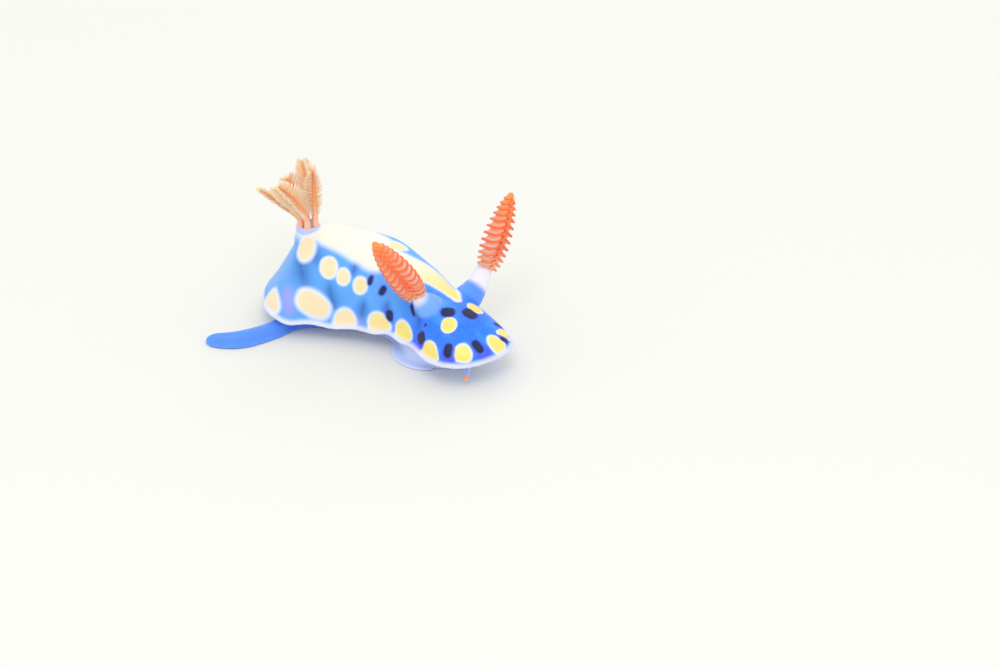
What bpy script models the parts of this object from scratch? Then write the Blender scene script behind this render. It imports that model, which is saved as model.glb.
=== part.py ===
# A blue sea slug at life size: tall mantle over a narrow foot, two ringed feelers on the head,
# a tuft of gill plumes on the back and a tail laid out to one side. The head faces -Y, the sole is at z = 0
# and the origin is on the sole, below the middle of the body.
import math

import bmesh
import bpy
from mathutils import Matrix, Vector

MM = 0.001

# Gaps and rims
GAP = 0.3 * MM
EDGE_THICKNESS = 0.3 * MM
BRIM = 0.36 * MM
BRIM_RISE = 0.24 * MM

# Mantle: x, y, half width on the animal's right, on its left, height of its margin, height of its back,
# how far its left rim stands up and its right rim hangs, squareness of its right shoulder and of its left,
# where 2 is round
MANTLE_STATIONS = [
    (0.35, -8.32, 3.00, 2.40, 2.18, 3.10, 0.24, 2.3, 1.9),
    (0.45, -6.60, 3.35, 2.60, 2.10, 3.70, 0.25, 2.3, 1.9),
    (0.50, -4.40, 3.28, 2.65, 2.00, 4.28, 0.24, 2.3, 1.9),
    (0.45, -2.00, 3.10, 2.60, 1.85, 4.60, 0.20, 2.3, 2.0),
    (0.10, 0.60, 3.10, 3.10, 1.70, 5.12, 0.16, 2.3, 2.7),
    (-0.95, 3.00, 3.40, 3.85, 1.55, 5.75, 0.14, 2.4, 3.8),
    (-2.30, 5.40, 3.80, 3.50, 1.50, 6.22, 0.14, 2.3, 3.2),
    (-3.70, 7.60, 4.30, 3.10, 1.50, 6.20, 0.12, 1.5, 2.5),
    (-5.60, 10.00, 4.10, 2.70, 1.50, 2.00, 0.10, 1.4, 2.0),
]
FRONT_ROUNDING = 2.6 * MM
REAR_ROUNDING = 2.8 * MM
SIZE_COLUMNS = 7
HEIGHT_ROUNDING = 1.25
MANTLE_CUTS = [0.0, 0.42, 0.60, 0.775, 1.0]
MANTLE_NAMES = ["mantle_head", "mantle_front", "mantle_middle", "mantle_rear"]

# Foot and tail: x, y, half width of the sole, half width at the flank, height of its top
FOOT_STATIONS = [
    (0.50, -4.7, 1.20, 1.35, 1.38),
    (0.25, -3.5, 1.55, 1.60, 1.32),
    (-0.30, -2.1, 2.50, 1.80, 1.20),
    (0.00, 0.6, 1.60, 1.45, 1.00),
    (-0.90, 3.4, 1.45, 1.45, 0.90),
    (-3.05, 5.8, 1.60, 1.45, 0.88),
    (-5.45, 6.6, 0.85, 0.75, 0.85),
    (-7.85, 6.3, 0.64, 0.52, 0.88),
    (-10.20, 6.6, 0.66, 0.50, 0.90),
    (-11.90, 8.0, 0.50, 0.34, 0.66),
]
FOOT_CUTS = [0.0, 0.22, 0.47, 0.66, 0.83, 1.0]
FOOT_NAMES = ["foot_front", "foot_middle", "foot_rear", "tail_base", "tail_tip"]
FOOT_EDGE_HEIGHT = 0.28 * MM
FOOT_EDGE_FLARE = 0.16 * MM
TAIL_ROUNDING = 0.9 * MM

# Snout, mouth and oral feelers
SNOUT_LENGTH = 2.3 * MM
SNOUT_HALF_WIDTH = 1.2 * MM
SNOUT_LOW = 0.7 * MM
SNOUT_HIGH = 1.5 * MM
LIP_RADIUS = 0.36 * MM
LIP_THICKNESS = 0.13 * MM
MOUTH_HALF_WIDTH = 0.26 * MM
MOUTH_HALF_HEIGHT = 0.07 * MM
MOUTH_DEPTH = 0.35 * MM
ORAL_LENGTH = {"right": 1.0 * MM, "left": 0.5 * MM}
ORAL_RADIUS = 0.3 * MM
ORAL_DROP = {"right": math.radians(30), "left": math.radians(4)}
ORAL_SPLAY = math.radians(56)
ORAL_PLACE = 0.78

# Rhinophores, the two ringed feelers on the head: place beside the midline, and lean outward and back
# from upright. A stalk leaves the head at its own lean and bends to the lean of its club.
RHINOPHORE_STATION = 0.338
RHINOPHORE_SPREAD = {"right": 1.5 * MM, "left": 1.95 * MM}
STALK_LENGTH = {"right": 0.8 * MM, "left": 2.2 * MM}
STALK_LEAN = {"right": math.radians(40), "left": math.radians(66)}
STALK_BACK = math.radians(6)
STALK_BEND = 0.6
STALK_BASE_RADIUS = 0.85 * MM
STALK_TOP_RADIUS = 0.42 * MM
STALK_SINK = 0.9 * MM
CLUB_LEAN = math.radians(31)
CLUB_BACK = {"right": math.radians(15), "left": math.radians(10)}
CLUB_LENGTH = 5.3 * MM
CLUB_RADIUS = 1.07 * MM
CLUB_CORE = 0.42
CLUB_FACE = {"right": Vector((-0.43, -0.83, 0.0)), "left": Vector((0.03, -0.92, 0.38))}

# Rings of the club: plates on both sides that meet at a ridge on its face
PLATES_A_SIDE = 7
PLATE_ROOT = 0.5 * MM
PLATE_EDGE = 0.24 * MM
PLATE_DROOP = 0.34 * MM
RIDGE_RADIUS = 0.2 * MM

# Gill: a collar on the back and plumes round it, which all lean the same way
GILL_STATION = 0.872
COLLAR_RADIUS = 1.15 * MM
COLLAR_HEIGHT = 0.62 * MM
COLLAR_SINK = 1.7 * MM
PLUME_RING = 0.84 * MM
PLUME_ROOT_RADIUS = 0.25 * MM
PLUME_TIP_RADIUS = 0.14 * MM
PLUME_LEAN = Vector((-0.36, 0.27, 0.0))
# turn round the collar from the animal's right, length in mm, and spread for each mm of length
PLUMES = [(-5, 3.1, 0.44), (52, 4.1, 0.40), (118, 4.9, 0.42), (182, 4.2, 0.30), (246, 2.5, 0.40)]
FILAMENT_PITCH = 0.54 * MM
FILAMENT_LENGTH = 1.15 * MM
FILAMENT_WIDTH = 0.5 * MM
FILAMENT_ROOT = 0.42 * MM
FILAMENT_TIP = 0.16 * MM

COLOURS = {
    "mantle": (0.05, 0.27, 0.87),
    "foot": (0.22, 0.40, 0.90),
    "tail": (0.06, 0.20, 0.80),
    "snout": (0.42, 0.52, 0.88),
    "oral": (0.95, 0.50, 0.32),
    "stalk": (0.72, 0.74, 0.92),
    "club": (0.95, 0.25, 0.10),
    "collar": (0.55, 0.58, 0.92),
    "plume": (0.96, 0.48, 0.22),
}
SKIN_ROUGHNESS = 0.35


def clear_scene():
    for old in list(bpy.data.objects):
        bpy.data.objects.remove(old, do_unlink=True)


def collection(name):
    made = bpy.data.collections.new(name)
    bpy.context.scene.collection.children.link(made)
    return made


def material(name):
    made = bpy.data.materials.get(name)
    if made is None:
        made = bpy.data.materials.new(name)
        made.use_nodes = True
        shader = made.node_tree.nodes["Principled BSDF"]
        shader.inputs["Base Color"].default_value = (*COLOURS[name], 1.0)
        shader.inputs["Roughness"].default_value = SKIN_ROUGHNESS
        shader.inputs["Metallic"].default_value = 0.0
    return made


def add_object(name, bm, slot, home):
    bmesh.ops.recalc_face_normals(bm, faces=bm.faces)
    mesh = bpy.data.meshes.new(name)
    bm.to_mesh(mesh)
    bm.free()
    mesh.shade_smooth()
    made = bpy.data.objects.new(name, mesh)
    made.data.materials.append(material(slot))
    home.objects.link(made)
    return made


def loft(rings, endless=False):
    # Joins rings of equal count with quads, and closes both ends or joins the last ring to the first.
    bm = bmesh.new()
    rows = [[bm.verts.new(p) for p in ring] for ring in rings]
    count = len(rings[0])
    following = rows[1:] + rows[:1] if endless else rows[1:]
    for near, far in zip(rows, following):
        for i in range(count):
            j = (i + 1) % count
            bm.faces.new((near[i], near[j], far[j], far[i]))
    if not endless:
        bm.faces.new(rows[0])
        bm.faces.new(rows[-1])
    return bm


def smooth_row(stations, along):
    # Reads every column of the stations at a place from 0 to 1, through a Catmull-Rom curve.
    last = len(stations) - 1
    place = min(max(along, 0.0), 1.0) * last
    i = min(int(place), last - 1)
    t = place - i
    p0 = stations[max(i - 1, 0)]
    p1 = stations[i]
    p2 = stations[i + 1]
    p3 = stations[min(i + 2, last)]
    row = []
    for a, b, c, d in zip(p0, p1, p2, p3):
        bend = 2 * a - 5 * b + 4 * c - d
        curl = 3 * b - a - 3 * c + d
        row.append(0.5 * (2 * b + (c - a) * t + bend * t * t + curl * t * t * t))
    sizes = [value * MM for value in row[:SIZE_COLUMNS]]
    return sizes + row[SIZE_COLUMNS:]


def heading(stations, along):
    step = 0.004
    ahead = smooth_row(stations, min(along + step, 1.0))
    behind = smooth_row(stations, max(along - step, 0.0))
    run = Vector((ahead[0] - behind[0], ahead[1] - behind[1], 0.0))
    return run.normalized()


def path_length(stations, low, high):
    steps = 80
    total = 0.0
    before = smooth_row(stations, low)
    for k in range(1, steps + 1):
        now = smooth_row(stations, low + (high - low) * k / steps)
        total += math.hypot(now[0] - before[0], now[1] - before[1])
        before = now
    return total


def spread_along(stations, low, high, pitch, open_low, open_high):
    # Places along a length of the body, closer together where the body rounds off at an end.
    length = path_length(stations, low, high)
    count = max(4, round(length / pitch))
    places = []
    for k in range(count + 1):
        t = k / count
        if open_low and open_high:
            t = 0.5 - 0.5 * math.cos(math.pi * t)
        elif open_low:
            t = 1 - math.sin(math.pi / 2 * (1 - t))
        elif open_high:
            t = math.sin(math.pi / 2 * t)
        places.append(low + (high - low) * t)
    return places


def side_vector(stations, along):
    # Points to the animal's left.
    run = heading(stations, along)
    return Vector((run.y, -run.x, 0.0))


def end_factor(stations, along, front, rear):
    # 1 along the body, falling to nearly 0 at a rounded end.
    factor = 1.0
    for radius, distance in (
        (front, path_length(stations, 0.0, along)),
        (rear, path_length(stations, along, 1.0)),
    ):
        if radius and distance < radius:
            short = 1 - distance / radius
            factor *= math.sqrt(max(1 - short * short, 0.01))
    return factor


def mantle_section(along, grow=0.0):
    x, y, right, left, margin, back, tilt, right_square, left_square = smooth_row(MANTLE_STATIONS, along)
    side = side_vector(MANTLE_STATIONS, along)
    factor = end_factor(MANTLE_STATIONS, along, FRONT_ROUNDING, REAR_ROUNDING)
    right = right * factor + grow
    left = left * factor + grow
    brim = min(BRIM, 0.3 * right)
    rise = (back - margin - BRIM_RISE) * factor**HEIGHT_ROUNDING + grow
    low = margin - EDGE_THICKNESS - grow
    centre = Vector((x, y, 0.0))

    def at(offset, height):
        return centre + side * offset + Vector((0.0, 0.0, height))

    right_rim, left_rim = margin - tilt, margin + tilt
    ring = [at(-right, right_rim - 0.3 * EDGE_THICKNESS), at(-right + 0.2 * brim, right_rim + 0.6 * BRIM_RISE)]
    steps = 16
    for k in range(steps + 1):
        turn = math.pi * k / steps
        near_right = k < steps / 2
        power = 2 / (right_square if near_right else left_square)
        half = (right if near_right else left) - brim
        reach = abs(math.cos(turn)) ** power * (-1 if near_right else 1)
        height = margin + tilt * reach + BRIM_RISE + rise * abs(math.sin(turn)) ** power
        ring.append(at(half * reach, height))
    ring.append(at(left - 0.2 * brim, left_rim + 0.6 * BRIM_RISE))
    ring.append(at(left, left_rim - 0.3 * EDGE_THICKNESS))
    ring.append(at(left - brim, low + tilt))
    ring.append(at(0.6 * left, low))
    ring.append(at(-0.6 * right, low))
    ring.append(at(-right + brim, low - tilt))
    return ring


def mantle_loft(low, high, pitch, grow=0.0):
    places = spread_along(MANTLE_STATIONS, low, high, pitch, low == 0.0, high == 1.0)
    return loft([mantle_section(t, grow) for t in places])


def cut_places(stations, cuts):
    # Each length stops half a gap short of a cut.
    whole = path_length(stations, 0.0, 1.0)
    half = 0.5 * GAP / whole
    spans = []
    for a, b in zip(cuts, cuts[1:]):
        spans.append((a if a == 0.0 else a + half, b if b == 1.0 else b - half))
    return spans


def build_mantle(home):
    spans = cut_places(MANTLE_STATIONS, MANTLE_CUTS)
    for name, (low, high) in zip(MANTLE_NAMES, spans):
        add_object(name, mantle_loft(low, high, 0.55 * MM), "mantle", home)


def foot_section(along):
    x, y, sole, flank, top = smooth_row(FOOT_STATIONS, along)
    side = side_vector(FOOT_STATIONS, along)
    factor = end_factor(FOOT_STATIONS, along, 0.0, TAIL_ROUNDING)
    sole *= factor
    flank *= factor
    top = FOOT_EDGE_HEIGHT + (top - FOOT_EDGE_HEIGHT) * factor
    centre = Vector((x, y, 0.0))

    def at(offset, height):
        return centre + side * offset + Vector((0.0, 0.0, height))

    ring = [at(-sole, 0.0), at(-sole - FOOT_EDGE_FLARE * factor, FOOT_EDGE_HEIGHT)]
    steps = 8
    for k in range(1, steps):
        turn = math.pi * k / steps
        reach = -math.cos(turn)
        ring.append(at(flank * reach, FOOT_EDGE_HEIGHT + (top - FOOT_EDGE_HEIGHT) * math.sin(turn) ** 0.6))
    ring.append(at(sole + FOOT_EDGE_FLARE * factor, FOOT_EDGE_HEIGHT))
    ring.append(at(sole, 0.0))
    return ring


def build_foot(home):
    spans = cut_places(FOOT_STATIONS, FOOT_CUTS)
    for name, (low, high) in zip(FOOT_NAMES, spans):
        places = spread_along(FOOT_STATIONS, low, high, 0.55 * MM, False, high == 1.0)
        slot = "tail" if name.startswith("tail") else "foot"
        add_object(name, loft([foot_section(t) for t in places]), slot, home)


def frame_from(origin, axis, towards):
    # A frame with Z along the axis and X turned as near as it can be to another direction.
    z = axis.normalized()
    x = (towards - z * towards.dot(z)).normalized()
    y = z.cross(x)
    made = Matrix((x, y, z)).transposed().to_4x4()
    made.translation = origin
    return made


def turned(profile, sides):
    # Rings of a round piece, each from a radius and a height.
    rings = []
    for radius, height in profile:
        ring = []
        for k in range(sides):
            turn = 2 * math.pi * k / sides
            ring.append(Vector((radius * math.cos(turn), radius * math.sin(turn), height)))
        rings.append(ring)
    return rings


def placed(rings, frame):
    return [[frame @ p for p in ring] for ring in rings]


def cut_clear(target, bm, cutters, name):
    # Trims a piece so that it stands a gap off what it grows from.
    tool = add_object(name, bm, "mantle", cutters)
    tool.hide_render = True
    tool.display_type = "WIRE"
    trim = target.modifiers.new("trim", "BOOLEAN")
    trim.operation = "DIFFERENCE"
    trim.solver = "EXACT"
    trim.object = tool
    return tool


def back_height(along, offset):
    # Height of the mantle's back beside the midline.
    x, y, right, left, margin, back, tilt, right_square, left_square = smooth_row(MANTLE_STATIONS, along)
    half = (left if offset > 0 else right) - BRIM
    square = left_square if offset > 0 else right_square
    inside = max(1 - (abs(offset) / half) ** square, 0.0)
    lowest = margin + BRIM_RISE
    return lowest + tilt * offset / half + (back - lowest) * inside ** (1 / square)


def back_point(along, offset):
    x, y = smooth_row(MANTLE_STATIONS, along)[:2]
    flat = Vector((x, y, 0.0)) + side_vector(MANTLE_STATIONS, along) * offset
    return flat + Vector((0.0, 0.0, back_height(along, offset)))


def leaning(which, outward, back):
    sign = -1 if which == "right" else 1
    level = math.cos(back)
    return Vector((sign * math.sin(outward) * level, math.sin(back), math.cos(outward) * level))


def stalk_line(which):
    # Root on the back, the point where the stalk bends, and its top.
    sign = -1 if which == "right" else 1
    root = back_point(RHINOPHORE_STATION, sign * RHINOPHORE_SPREAD[which])
    length = STALK_LENGTH[which]
    bend = root + leaning(which, STALK_LEAN[which], STALK_BACK) * STALK_BEND * length
    top = bend + leaning(which, CLUB_LEAN, CLUB_BACK[which]) * (1 - STALK_BEND) * length
    return root, bend, top


def club_frame(which):
    axis = leaning(which, CLUB_LEAN, CLUB_BACK[which])
    top = stalk_line(which)[2]
    return frame_from(top + axis * GAP, axis, CLUB_FACE[which])


def build_stalk(which, home, cutters):
    root, bend, top = stalk_line(which)
    start = (bend - root).normalized()
    finish = (top - bend).normalized()
    sunk = frame_from(root - start * STALK_SINK, start, CLUB_FACE[which])
    rings = placed(turned([(1.05 * STALK_BASE_RADIUS, 0.0)], 14), sunk)
    for t, share in ((0.0, 1.0), (0.2, 0.8), (0.45, 0.42), (0.75, 0.1), (1.0, 0.0)):
        centre = root * (1 - t) ** 2 + bend * 2 * t * (1 - t) + top * t * t
        radius = STALK_TOP_RADIUS + (STALK_BASE_RADIUS - STALK_TOP_RADIUS) * share
        frame = frame_from(centre, start.lerp(finish, t), CLUB_FACE[which])
        rings.extend(placed(turned([(radius, 0.0)], 14), frame))
    made = add_object(f"rhinophore_{which}_stalk", loft(rings), "stalk", home)
    cut_clear(made, mantle_loft(0.02, 0.5, 0.3 * MM, GAP), cutters, f"mantle_clear_{which}")


def club_radius(t):
    # A spindle: narrow at its root, fullest below the middle, with a small round knob at its tip.
    full = math.sin(math.pi * t**0.72) ** 0.62 if 0 < t < 1 else 0.0
    return CLUB_RADIUS * max(0.2 + 0.8 * full - 0.12 * t, 0.12)


def core_radius(t):
    return max(club_radius(t) * CLUB_CORE, 0.12 * MM)


def plate(t, side):
    # A crescent from the ridge on the club's face round to its back, drooping at its outer edge.
    height = t * CLUB_LENGTH
    outer = club_radius(t)
    inner = 0.55 * core_radius(t)
    slim = 0.65 + 0.35 * outer / CLUB_RADIUS
    sections = []
    steps = 6
    for k in range(steps + 1):
        turn = math.radians(12 + 156 * k / steps)
        swell = math.sin(turn) ** 0.7
        reach = inner + (outer - inner) * (0.45 + 0.55 * swell)
        low = height - PLATE_DROOP * swell * slim
        section = []
        for radius, middle, thick in ((inner, height, PLATE_ROOT * slim), (reach, low, PLATE_EDGE)):
            flat = Vector((radius * math.cos(turn), side * radius * math.sin(turn), 0.0))
            pair = [flat + Vector((0.0, 0.0, middle + sign * 0.5 * thick)) for sign in (1, -1)]
            section.extend(pair if not section else reversed(pair))
        sections.append(section)
    return sections


def fuse(name, pieces, slot, home):
    # Joins closed pieces into one body and keeps its largest closed surface.
    core, *rest = pieces
    body = add_object(name, core, slot, home)
    group = collection(f"{name}_pieces")
    for number, piece in enumerate(rest):
        add_object(f"{name}_piece_{number}", piece, slot, group)
    union = body.modifiers.new("union", "BOOLEAN")
    union.operation = "UNION"
    union.operand_type = "COLLECTION"
    union.solver = "MANIFOLD"
    union.collection = group
    view = bpy.context.evaluated_depsgraph_get()
    joined = bpy.data.meshes.new_from_object(body.evaluated_get(view))
    body.modifiers.remove(union)
    body.data = joined
    for piece in list(group.objects):
        bpy.data.objects.remove(piece, do_unlink=True)
    bpy.data.collections.remove(group)
    keep_largest(body)
    return body


def surface_volume(faces):
    total = 0.0
    for face in faces:
        first = face.verts[0].co
        for a, b in zip(face.verts[1:], face.verts[2:]):
            total += first.dot(a.co.cross(b.co))
    return total / 6


def keep_largest(body):
    bm = bmesh.new()
    bm.from_mesh(body.data)
    left = set(bm.faces)
    groups = []
    while left:
        queue = [left.pop()]
        group = list(queue)
        while queue:
            face = queue.pop()
            for edge in face.edges:
                for other in edge.link_faces:
                    if other in left:
                        left.remove(other)
                        queue.append(other)
                        group.append(other)
        groups.append(group)
    groups.sort(key=surface_volume)
    spare = [face for group in groups[:-1] for face in group]
    bmesh.ops.delete(bm, geom=spare, context="FACES")
    bm.to_mesh(body.data)
    bm.free()


def build_club(which, home):
    frame = club_frame(which)
    steps = 10
    profile = [(core_radius(k / steps), CLUB_LENGTH * k / steps) for k in range(steps + 1)]
    pieces = [loft(placed(turned(profile, 10), frame))]
    ridge = []
    for k in range(steps):
        t = 0.06 + 0.86 * k / (steps - 1)
        centre = Vector((0.8 * core_radius(t) + 0.1 * (club_radius(t) - core_radius(t)), 0.0, t * CLUB_LENGTH))
        ring = turned([(RIDGE_RADIUS * (1.0 - 0.3 * t), 0.0)], 6)[0]
        ridge.append([p + centre for p in ring])
    pieces.append(loft(placed(ridge, frame)))
    for side in (-1, 1):
        for k in range(PLATES_A_SIDE):
            shift = 0.25 if side > 0 else 0.0
            t = 0.13 + 0.76 * (k + shift) / (PLATES_A_SIDE - 0.75)
            pieces.append(loft(placed(plate(t, side), frame)))
    fuse(f"rhinophore_{which}_club", pieces, "club", home)


def gill_centre():
    return back_point(GILL_STATION, 0.0)


def build_collar(home, cutters):
    profile = [
        (COLLAR_RADIUS, -COLLAR_SINK),
        (COLLAR_RADIUS, 0.3 * COLLAR_HEIGHT),
        (0.97 * COLLAR_RADIUS, COLLAR_HEIGHT),
    ]
    rings = placed(turned(profile, 20), Matrix.Translation(gill_centre()))
    made = add_object("gill_collar", loft(rings), "collar", home)
    cut_clear(made, mantle_loft(0.7, 1.0, 0.3 * MM, GAP), cutters, "mantle_clear_gill")


def plume_outward(angle):
    turn = math.radians(angle)
    return Vector((-math.cos(turn), -math.sin(turn), 0.0))


def plume_point(angle, length, spread, t):
    outward = plume_outward(angle)
    root = gill_centre() + outward * PLUME_RING + Vector((0.0, 0.0, COLLAR_HEIGHT + GAP))
    bend = (outward * spread + PLUME_LEAN) * t**1.2
    return root + (bend + Vector((0.0, 0.0, t * (1 - 0.1 * t)))) * length * MM


def filament(root, along, across, thin, length):
    # A flat tapered leaf: root ring, middle ring and a narrow end.
    rings = []
    for t, width, thick in ((0.0, 1.0, 1.0), (0.55, 0.85, 0.75), (1.0, 0.3, 0.0)):
        centre = root + along * length * t
        half_width = 0.5 * FILAMENT_WIDTH * width
        half_thick = 0.5 * (FILAMENT_TIP + (FILAMENT_ROOT - FILAMENT_TIP) * thick)
        rings.append(
            [
                centre + across * half_width,
                centre + thin * half_thick,
                centre - across * half_width,
                centre - thin * half_thick,
            ]
        )
    return rings


def build_plume(number, angle, length, spread, home):
    outward = plume_outward(angle)
    rings = []
    steps = 7
    for k in range(steps + 1):
        t = k / steps
        ahead = plume_point(angle, length, spread, t + 0.02) - plume_point(angle, length, spread, t)
        if k == 0:
            ahead = Vector((0.0, 0.0, 1.0))
        radius = PLUME_ROOT_RADIUS + (PLUME_TIP_RADIUS - PLUME_ROOT_RADIUS) * t
        frame = frame_from(plume_point(angle, length, spread, t), ahead, outward)
        rings.extend(placed(turned([(radius, 0.0)], 7), frame))
    pieces = [loft(rings)]
    low, high = 0.24, 0.86
    count = round((high - low) * length * MM / FILAMENT_PITCH)
    for k in range(count):
        for side in (-1, 1):
            t = low + (high - low) * (k + (0.4 if side > 0 else 0.0)) / (count - 0.6)
            here = plume_point(angle, length, spread, t)
            ahead = (plume_point(angle, length, spread, t + 0.02) - here).normalized()
            across = ahead.cross(outward).normalized() * side
            lie = (across * 0.75 + ahead * 0.65 - outward * 0.3).normalized()
            flat = lie.cross(outward).normalized()
            thin = lie.cross(flat).normalized()
            reach = FILAMENT_LENGTH * (0.35 + 0.65 * math.sin(math.pi * t**0.9))
            pieces.append(loft(filament(here, lie, flat, thin, reach)))
    fuse(f"gill_plume_{number}", pieces, "plume", home)


def snout_rings(grow=0.0):
    x, y = smooth_row(FOOT_STATIONS, 0.0)[:2]
    back = y - GAP + grow
    middle = 0.5 * (SNOUT_LOW + SNOUT_HIGH)
    half_height = 0.5 * (SNOUT_HIGH - SNOUT_LOW)
    sides = 16
    rings = []
    for t in (0.0, 0.35, 0.62, 0.82, 0.94, 1.0):
        factor = math.sqrt(max(1 - t * t, 0.25))
        ring = []
        for k in range(sides):
            turn = 2 * math.pi * k / sides
            wide = (SNOUT_HALF_WIDTH * factor + grow) * math.cos(turn)
            tall = (half_height * factor + grow) * math.sin(turn)
            ring.append(Vector((x + wide, back - (SNOUT_LENGTH + 2 * grow) * t, middle + tall)))
        rings.append(ring)
    return rings


def oval(half_width, half_height, depth, sides):
    ring = []
    for k in range(sides):
        turn = 2 * math.pi * k / sides
        ring.append(Vector((half_width * math.cos(turn), half_height * math.sin(turn), depth)))
    return ring


def lip_rings():
    # A low oval ring round the mouth.
    rings = []
    for centre in oval(LIP_RADIUS, 0.72 * LIP_RADIUS, 0.0, 14):
        out = centre.normalized()
        ring = []
        for point in oval(LIP_THICKNESS, LIP_THICKNESS, 0.0, 6):
            ring.append(centre + out * point.x + Vector((0.0, 0.0, point.y)))
        rings.append(ring)
    return rings


def build_snout(home, cutters):
    x, y = smooth_row(FOOT_STATIONS, 0.0)[:2]
    front = Vector((x, y - GAP - SNOUT_LENGTH, 0.5 * (SNOUT_LOW + SNOUT_HIGH)))
    facing = frame_from(front, Vector((0.0, -1.0, 0.0)), Vector((1.0, 0.0, 0.0)))
    lips = loft(placed(lip_rings(), facing), endless=True)
    snout = fuse("head_mouth", [loft(snout_rings()), lips], "snout", home)
    slit = [oval(MOUTH_HALF_WIDTH, MOUTH_HALF_HEIGHT, depth, 12) for depth in (-MOUTH_DEPTH, MOUTH_DEPTH)]
    cut_clear(snout, loft(placed(slit, facing)), cutters, "mouth_slit")


def build_oral(which, home, cutters):
    # A short cone beside the mouth.
    sign = -1 if which == "right" else 1
    x, y = smooth_row(FOOT_STATIONS, 0.0)[:2]
    middle = 0.5 * (SNOUT_LOW + SNOUT_HIGH)
    root = Vector((x + sign * 0.45 * SNOUT_HALF_WIDTH, y - GAP - ORAL_PLACE * SNOUT_LENGTH, middle))
    flat = Vector((sign * math.sin(ORAL_SPLAY), -math.cos(ORAL_SPLAY), 0.0))
    axis = flat * math.cos(ORAL_DROP[which]) - Vector((0.0, 0.0, math.sin(ORAL_DROP[which])))
    start = 0.3 * MM
    length = ORAL_LENGTH[which]
    profile = [
        (ORAL_RADIUS, start),
        (0.95 * ORAL_RADIUS, start + 0.45 * length),
        (0.75 * ORAL_RADIUS, start + 0.85 * length),
        (0.4 * ORAL_RADIUS, start + length),
    ]
    rings = placed(turned(profile, 10), frame_from(root, axis, Vector((0.0, 0.0, 1.0))))
    made = add_object(f"oral_tentacle_{which}", loft(rings), "oral", home)
    cut_clear(made, loft(snout_rings(GAP)), cutters, f"snout_clear_{which}")


def main():
    clear_scene()
    home = collection("sea_slug")
    cutters = collection("cutters")
    build_mantle(home)
    build_foot(home)
    build_snout(home, cutters)
    for which in ("right", "left"):
        build_oral(which, home, cutters)
        build_stalk(which, home, cutters)
        build_club(which, home)
    build_collar(home, cutters)
    for number, (angle, length, spread) in enumerate(PLUMES, 1):
        build_plume(number, angle, length, spread, home)


main()
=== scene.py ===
import math

import bpy
import numpy as np
from mathutils import Matrix, Vector, noise
from mathutils.bvhtree import BVHTree
from mathutils.interpolate import poly_3d_calc
from mathutils.kdtree import KDTree


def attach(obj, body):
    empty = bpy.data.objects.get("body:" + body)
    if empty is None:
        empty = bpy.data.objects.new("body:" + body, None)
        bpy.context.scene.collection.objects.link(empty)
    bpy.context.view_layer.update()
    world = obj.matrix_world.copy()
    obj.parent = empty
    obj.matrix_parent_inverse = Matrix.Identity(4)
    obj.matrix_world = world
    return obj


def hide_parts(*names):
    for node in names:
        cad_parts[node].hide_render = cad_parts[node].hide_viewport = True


# The animal is modelled in millimetres and shrunk to metres at the end of each piece.
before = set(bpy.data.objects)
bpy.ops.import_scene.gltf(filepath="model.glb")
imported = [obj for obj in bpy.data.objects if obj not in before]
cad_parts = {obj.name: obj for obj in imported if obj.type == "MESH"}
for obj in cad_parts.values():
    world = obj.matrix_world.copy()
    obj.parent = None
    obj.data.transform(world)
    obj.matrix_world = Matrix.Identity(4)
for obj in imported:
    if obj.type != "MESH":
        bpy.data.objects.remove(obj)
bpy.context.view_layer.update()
bpy.ops.object.select_all(action="DESELECT")
noise.seed_set(5)  # else the noise differs from run to run
print("frame loaded:", len(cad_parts), "nodes")

metresPerMm = 0.001
sideSign = {"right": -1, "left": 1}  # the animal's own sides, along X

camera = {
    "elevation": 30.0,  # degrees over the floor
    "turn": 36.0,  # degrees from the animal's front to its right
    "aimRight": 2.27,  # mm from the animal's front to the middle of the picture
    "aimUp": 4.05,
    "aimFrom": (-1.6, -8.0, 0.0),
    "distance": 300.0,  # mm
    "pictureWidth": 66.667,  # mm of floor across the picture
    "sensor": 36.0,
}

light = {
    "worldColour": "F4F8FF",
    "worldStrength": 1.0,
    "keyPower": 0.19,  # watts, at the size of a hand
    "lampSize": 0.14,
    "keyPlace": (-0.10, -0.13, 0.24),
    "rimPower": 0.05,
    "rimPlace": (0.16, 0.16, 0.16),
    "floorColour": "F1EEE2",
}

# x, y, half width on the animal's right, on its left, height of the margin, height of the back,
# how far the left rim stands up and the right rim hangs, squareness of the right shoulder and of the left
mantle = {
    "stations": [
        (0.35, -8.32, 3.00, 2.66, 2.10, 3.08, 0.14, 2.3, 1.9),
        (0.45, -6.60, 3.35, 2.76, 2.03, 3.70, 0.18, 2.3, 1.9),
        (0.50, -4.40, 3.28, 2.70, 1.98, 4.28, 0.22, 2.3, 1.9),
        (0.45, -2.00, 3.10, 2.60, 1.85, 4.60, 0.20, 2.3, 2.0),
        (0.10, 0.60, 3.10, 3.10, 1.70, 5.12, 0.16, 2.3, 2.7),
        (-0.95, 3.00, 3.40, 3.85, 1.55, 5.75, 0.14, 2.4, 3.8),
        (-2.30, 5.40, 3.80, 3.50, 1.50, 6.22, 0.14, 2.3, 3.2),
        (-3.70, 7.60, 4.30, 3.10, 1.50, 6.20, 0.12, 1.5, 2.5),
        (-5.60, 10.00, 4.10, 2.70, 1.50, 2.00, 0.10, 1.4, 2.0),
    ],
    "frontRounding": {"right": 2.6, "left": 2.1},
    "rearRounding": 2.8,
    "heightRounding": 1.25,
    "edgeThickness": 0.24,
    "brim": 0.42,
    "brimRise": 0.2,
    "backInset": 0.36,  # mm in from the rim, and up, where the back begins
    "backLift": 0.24,
    "waveHeight": 0.1,
    "waveLength": 3.3,
    "waveStart": 2.75,
    "segments": 160,
    "rings": 140,
}

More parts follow.
